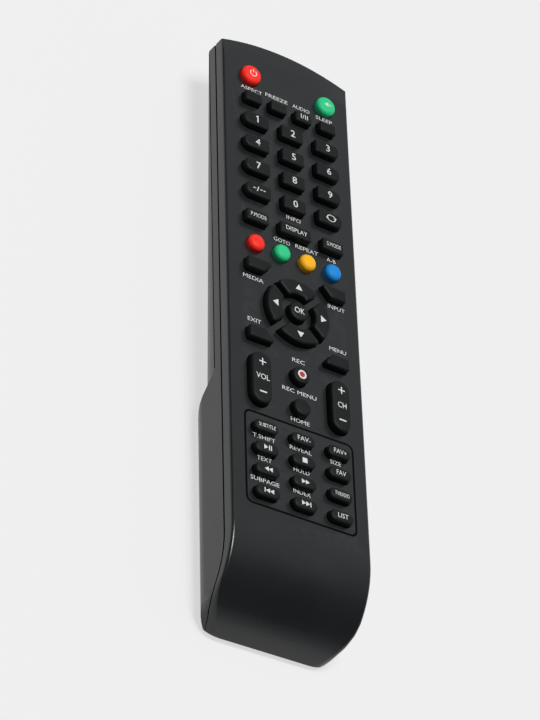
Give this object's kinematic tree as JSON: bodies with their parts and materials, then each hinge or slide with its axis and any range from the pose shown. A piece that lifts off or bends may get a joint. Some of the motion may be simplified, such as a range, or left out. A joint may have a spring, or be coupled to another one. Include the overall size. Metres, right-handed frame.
{
  "type": "universal remote control",
  "caption": "Slim charcoal handheld remote with a curved-down tail, rubber keys in rows, a ring of direction keys, two rockers and a battery hump with a slide-off cover.",
  "frame": {"origin": "bottom centre of the bounding box: under the middle of the case, on the plane that the battery hump rests on", "axes": "+X across the face to the right, +Y along the case towards the infrared end, +Z out of the key face"},
  "size_m": [0.049, 0.212, 0.0255],
  "materials": {
    "case_plastic": "fine matt texture, charcoal",
    "black_rubber": "smooth silicone, near black",
    "red_rubber": "smooth silicone, red",
    "green_rubber": "smooth silicone, green",
    "yellow_rubber": "smooth silicone, amber yellow",
    "blue_rubber": "smooth silicone, blue",
    "mat_rubber": "matt silicone",
    "board": "laminate with solder mask",
    "component_plastic": "moulded black",
    "emitter_resin": "tinted clear resin",
    "nickel": "nickel plated",
    "cell_jacket": "printed jacket"
  },
  "bodies": {
    "case": {"top_case": "case_plastic", "bottom_case": "case_plastic", "keypad_mat": "mat_rubber", "circuit_board": "board", "board_components": "component_plastic", "ir_emitter": "emitter_resin", "battery_springs": "nickel", "battery_plates": "nickel", "aaa_cells": "cell_jacket"},
    "battery_cover": {"battery_cover": "case_plastic"},
    "power_key": {"power_key": "red_rubber"},
    "mute_key": {"mute_key": "green_rubber"},
    "red_key": {"red_key": "red_rubber"},
    "green_key": {"green_key": "green_rubber"},
    "yellow_key": {"yellow_key": "yellow_rubber"},
    "blue_key": {"blue_key": "blue_rubber"},
    "ok_key": {"ok_key": "black_rubber"},
    "record_key": {"record_key": "black_rubber"},
    "home_key": {"home_key": "black_rubber"},
    "aspect_key": {"aspect_key": "black_rubber"},
    "freeze_key": {"freeze_key": "black_rubber"},
    "audio_key": {"audio_key": "black_rubber"},
    "sleep_key": {"sleep_key": "black_rubber"},
    "digit_1_key": {"digit_1_key": "black_rubber"},
    "digit_2_key": {"digit_2_key": "black_rubber"},
    "digit_3_key": {"digit_3_key": "black_rubber"},
    "digit_4_key": {"digit_4_key": "black_rubber"},
    "digit_5_key": {"digit_5_key": "black_rubber"},
    "digit_6_key": {"digit_6_key": "black_rubber"},
    "digit_7_key": {"digit_7_key": "black_rubber"},
    "digit_8_key": {"digit_8_key": "black_rubber"},
    "digit_9_key": {"digit_9_key": "black_rubber"},
    "dash_key": {"dash_key": "black_rubber"},
    "digit_0_key": {"digit_0_key": "black_rubber"},
    "recall_key": {"recall_key": "black_rubber"},
    "picture_mode_key": {"picture_mode_key": "black_rubber"},
    "display_key": {"display_key": "black_rubber"},
    "sound_mode_key": {"sound_mode_key": "black_rubber"},
    "media_key": {"media_key": "black_rubber"},
    "input_key": {"input_key": "black_rubber"},
    "exit_key": {"exit_key": "black_rubber"},
    "menu_key": {"menu_key": "black_rubber"},
    "subtitle_key": {"subtitle_key": "black_rubber"},
    "fav_minus_key": {"fav_minus_key": "black_rubber"},
    "fav_plus_key": {"fav_plus_key": "black_rubber"},
    "play_pause_key": {"play_pause_key": "black_rubber"},
    "stop_key": {"stop_key": "black_rubber"},
    "fav_key": {"fav_key": "black_rubber"},
    "rewind_key": {"rewind_key": "black_rubber"},
    "forward_key": {"forward_key": "black_rubber"},
    "tv_radio_key": {"tv_radio_key": "black_rubber"},
    "previous_key": {"previous_key": "black_rubber"},
    "next_key": {"next_key": "black_rubber"},
    "list_key": {"list_key": "black_rubber"},
    "right_key": {"right_key": "black_rubber"},
    "up_key": {"up_key": "black_rubber"},
    "left_key": {"left_key": "black_rubber"},
    "down_key": {"down_key": "black_rubber"},
    "volume_rocker": {"volume_rocker": "black_rubber"},
    "channel_rocker": {"channel_rocker": "black_rubber"}
  },
  "joints": [
    {"name": "power_key_press", "type": "slide", "parent": "case", "child": "power_key", "axis": [0, 0, -1], "range_m": [0, 0.001], "stiffness_N_per_m": 1200},
    {"name": "mute_key_press", "type": "slide", "parent": "case", "child": "mute_key", "axis": [0, 0, -1], "range_m": [0, 0.001], "stiffness_N_per_m": 1200},
    {"name": "red_key_press", "type": "slide", "parent": "case", "child": "red_key", "axis": [0, 0, -1], "range_m": [0, 0.001], "stiffness_N_per_m": 1200},
    {"name": "green_key_press", "type": "slide", "parent": "case", "child": "green_key", "axis": [0, 0, -1], "range_m": [0, 0.001], "stiffness_N_per_m": 1200},
    {"name": "yellow_key_press", "type": "slide", "parent": "case", "child": "yellow_key", "axis": [0, 0, -1], "range_m": [0, 0.001], "stiffness_N_per_m": 1200},
    {"name": "blue_key_press", "type": "slide", "parent": "case", "child": "blue_key", "axis": [0, 0, -1], "range_m": [0, 0.001], "stiffness_N_per_m": 1200},
    {"name": "ok_key_press", "type": "slide", "parent": "case", "child": "ok_key", "axis": [0, 0, -1], "range_m": [0, 0.001], "stiffness_N_per_m": 1200},
    {"name": "record_key_press", "type": "slide", "parent": "case", "child": "record_key", "axis": [0, 0, -1], "range_m": [0, 0.001], "stiffness_N_per_m": 1200},
    {"name": "home_key_press", "type": "slide", "parent": "case", "child": "home_key", "axis": [0, 0, -1], "range_m": [0, 0.001], "stiffness_N_per_m": 1200},
    {"name": "aspect_key_press", "type": "slide", "parent": "case", "child": "aspect_key", "axis": [0, 0, -1], "range_m": [0, 0.001], "stiffness_N_per_m": 1200},
    {"name": "freeze_key_press", "type": "slide", "parent": "case", "child": "freeze_key", "axis": [0, 0, -1], "range_m": [0, 0.001], "stiffness_N_per_m": 1200},
    {"name": "audio_key_press", "type": "slide", "parent": "case", "child": "audio_key", "axis": [0, 0, -1], "range_m": [0, 0.001], "stiffness_N_per_m": 1200},
    {"name": "sleep_key_press", "type": "slide", "parent": "case", "child": "sleep_key", "axis": [0, 0, -1], "range_m": [0, 0.001], "stiffness_N_per_m": 1200},
    {"name": "digit_1_key_press", "type": "slide", "parent": "case", "child": "digit_1_key", "axis": [0, 0, -1], "range_m": [0, 0.001], "stiffness_N_per_m": 1200},
    {"name": "digit_2_key_press", "type": "slide", "parent": "case", "child": "digit_2_key", "axis": [0, 0, -1], "range_m": [0, 0.001], "stiffness_N_per_m": 1200},
    {"name": "digit_3_key_press", "type": "slide", "parent": "case", "child": "digit_3_key", "axis": [0, 0, -1], "range_m": [0, 0.001], "stiffness_N_per_m": 1200},
    {"name": "digit_4_key_press", "type": "slide", "parent": "case", "child": "digit_4_key", "axis": [0, 0, -1], "range_m": [0, 0.001], "stiffness_N_per_m": 1200},
    {"name": "digit_5_key_press", "type": "slide", "parent": "case", "child": "digit_5_key", "axis": [0, 0, -1], "range_m": [0, 0.001], "stiffness_N_per_m": 1200},
    {"name": "digit_6_key_press", "type": "slide", "parent": "case", "child": "digit_6_key", "axis": [0, 0, -1], "range_m": [0, 0.001], "stiffness_N_per_m": 1200},
    {"name": "digit_7_key_press", "type": "slide", "parent": "case", "child": "digit_7_key", "axis": [0, 0, -1], "range_m": [0, 0.001], "stiffness_N_per_m": 1200},
    {"name": "digit_8_key_press", "type": "slide", "parent": "case", "child": "digit_8_key", "axis": [0, 0, -1], "range_m": [0, 0.001], "stiffness_N_per_m": 1200},
    {"name": "digit_9_key_press", "type": "slide", "parent": "case", "child": "digit_9_key", "axis": [0, 0, -1], "range_m": [0, 0.001], "stiffness_N_per_m": 1200},
    {"name": "dash_key_press", "type": "slide", "parent": "case", "child": "dash_key", "axis": [0, 0, -1], "range_m": [0, 0.001], "stiffness_N_per_m": 1200},
    {"name": "digit_0_key_press", "type": "slide", "parent": "case", "child": "digit_0_key", "axis": [0, 0, -1], "range_m": [0, 0.001], "stiffness_N_per_m": 1200},
    {"name": "recall_key_press", "type": "slide", "parent": "case", "child": "recall_key", "axis": [0, 0, -1], "range_m": [0, 0.001], "stiffness_N_per_m": 1200},
    {"name": "picture_mode_key_press", "type": "slide", "parent": "case", "child": "picture_mode_key", "axis": [0, 0, -1], "range_m": [0, 0.001], "stiffness_N_per_m": 1200},
    {"name": "display_key_press", "type": "slide", "parent": "case", "child": "display_key", "axis": [0, 0, -1], "range_m": [0, 0.001], "stiffness_N_per_m": 1200},
    {"name": "sound_mode_key_press", "type": "slide", "parent": "case", "child": "sound_mode_key", "axis": [0, 0, -1], "range_m": [0, 0.001], "stiffness_N_per_m": 1200},
    {"name": "media_key_press", "type": "slide", "parent": "case", "child": "media_key", "axis": [0, 0, -1], "range_m": [0, 0.001], "stiffness_N_per_m": 1200},
    {"name": "input_key_press", "type": "slide", "parent": "case", "child": "input_key", "axis": [0, 0, -1], "range_m": [0, 0.001], "stiffness_N_per_m": 1200},
    {"name": "exit_key_press", "type": "slide", "parent": "case", "child": "exit_key", "axis": [0, 0, -1], "range_m": [0, 0.001], "stiffness_N_per_m": 1200},
    {"name": "menu_key_press", "type": "slide", "parent": "case", "child": "menu_key", "axis": [0, 0, -1], "range_m": [0, 0.001], "stiffness_N_per_m": 1200},
    {"name": "subtitle_key_press", "type": "slide", "parent": "case", "child": "subtitle_key", "axis": [0, 0, -1], "range_m": [0, 0.001], "stiffness_N_per_m": 1200},
    {"name": "fav_minus_key_press", "type": "slide", "parent": "case", "child": "fav_minus_key", "axis": [0, 0, -1], "range_m": [0, 0.001], "stiffness_N_per_m": 1200},
    {"name": "fav_plus_key_press", "type": "slide", "parent": "case", "child": "fav_plus_key", "axis": [0, 0, -1], "range_m": [0, 0.001], "stiffness_N_per_m": 1200},
    {"name": "play_pause_key_press", "type": "slide", "parent": "case", "child": "play_pause_key", "axis": [0, 0, -1], "range_m": [0, 0.001], "stiffness_N_per_m": 1200},
    {"name": "stop_key_press", "type": "slide", "parent": "case", "child": "stop_key", "axis": [0, 0, -1], "range_m": [0, 0.001], "stiffness_N_per_m": 1200},
    {"name": "fav_key_press", "type": "slide", "parent": "case", "child": "fav_key", "axis": [0, 0, -1], "range_m": [0, 0.001], "stiffness_N_per_m": 1200},
    {"name": "rewind_key_press", "type": "slide", "parent": "case", "child": "rewind_key", "axis": [0, 0, -1], "range_m": [0, 0.001], "stiffness_N_per_m": 1200},
    {"name": "forward_key_press", "type": "slide", "parent": "case", "child": "forward_key", "axis": [0, 0, -1], "range_m": [0, 0.001], "stiffness_N_per_m": 1200},
    {"name": "tv_radio_key_press", "type": "slide", "parent": "case", "child": "tv_radio_key", "axis": [0, 0, -1], "range_m": [0, 0.001], "stiffness_N_per_m": 1200},
    {"name": "previous_key_press", "type": "slide", "parent": "case", "child": "previous_key", "axis": [0, 0, -1], "range_m": [0, 0.001], "stiffness_N_per_m": 1200},
    {"name": "next_key_press", "type": "slide", "parent": "case", "child": "next_key", "axis": [0, 0, -1], "range_m": [0, 0.001], "stiffness_N_per_m": 1200},
    {"name": "list_key_press", "type": "slide", "parent": "case", "child": "list_key", "axis": [0, 0, -1], "range_m": [0, 0.001], "stiffness_N_per_m": 1200},
    {"name": "right_key_press", "type": "slide", "parent": "case", "child": "right_key", "axis": [0, 0, -1], "range_m": [0, 0.001], "stiffness_N_per_m": 1200},
    {"name": "up_key_press", "type": "slide", "parent": "case", "child": "up_key", "axis": [0, 0, -1], "range_m": [0, 0.001], "stiffness_N_per_m": 1200},
    {"name": "left_key_press", "type": "slide", "parent": "case", "child": "left_key", "axis": [0, 0, -1], "range_m": [0, 0.001], "stiffness_N_per_m": 1200},
    {"name": "down_key_press", "type": "slide", "parent": "case", "child": "down_key", "axis": [0, 0, -1], "range_m": [0, 0.001], "stiffness_N_per_m": 1200},
    {"name": "volume_rocker_tilt", "type": "hinge", "parent": "case", "child": "volume_rocker", "pos_m": [-0.0144, -0.0285, 0.0193], "axis": [1, 0, 0], "range_deg": [-4, 4], "stiffness_Nm_per_rad": 0.137},
    {"name": "channel_rocker_tilt", "type": "hinge", "parent": "case", "child": "channel_rocker", "pos_m": [0.0144, -0.0285, 0.0193], "axis": [1, 0, 0], "range_deg": [-4, 4], "stiffness_Nm_per_rad": 0.137},
    {"name": "cover_slide", "type": "slide", "parent": "case", "child": "battery_cover", "axis": [0, -1, 0], "range_m": [0, 0.07]}
  ]
}
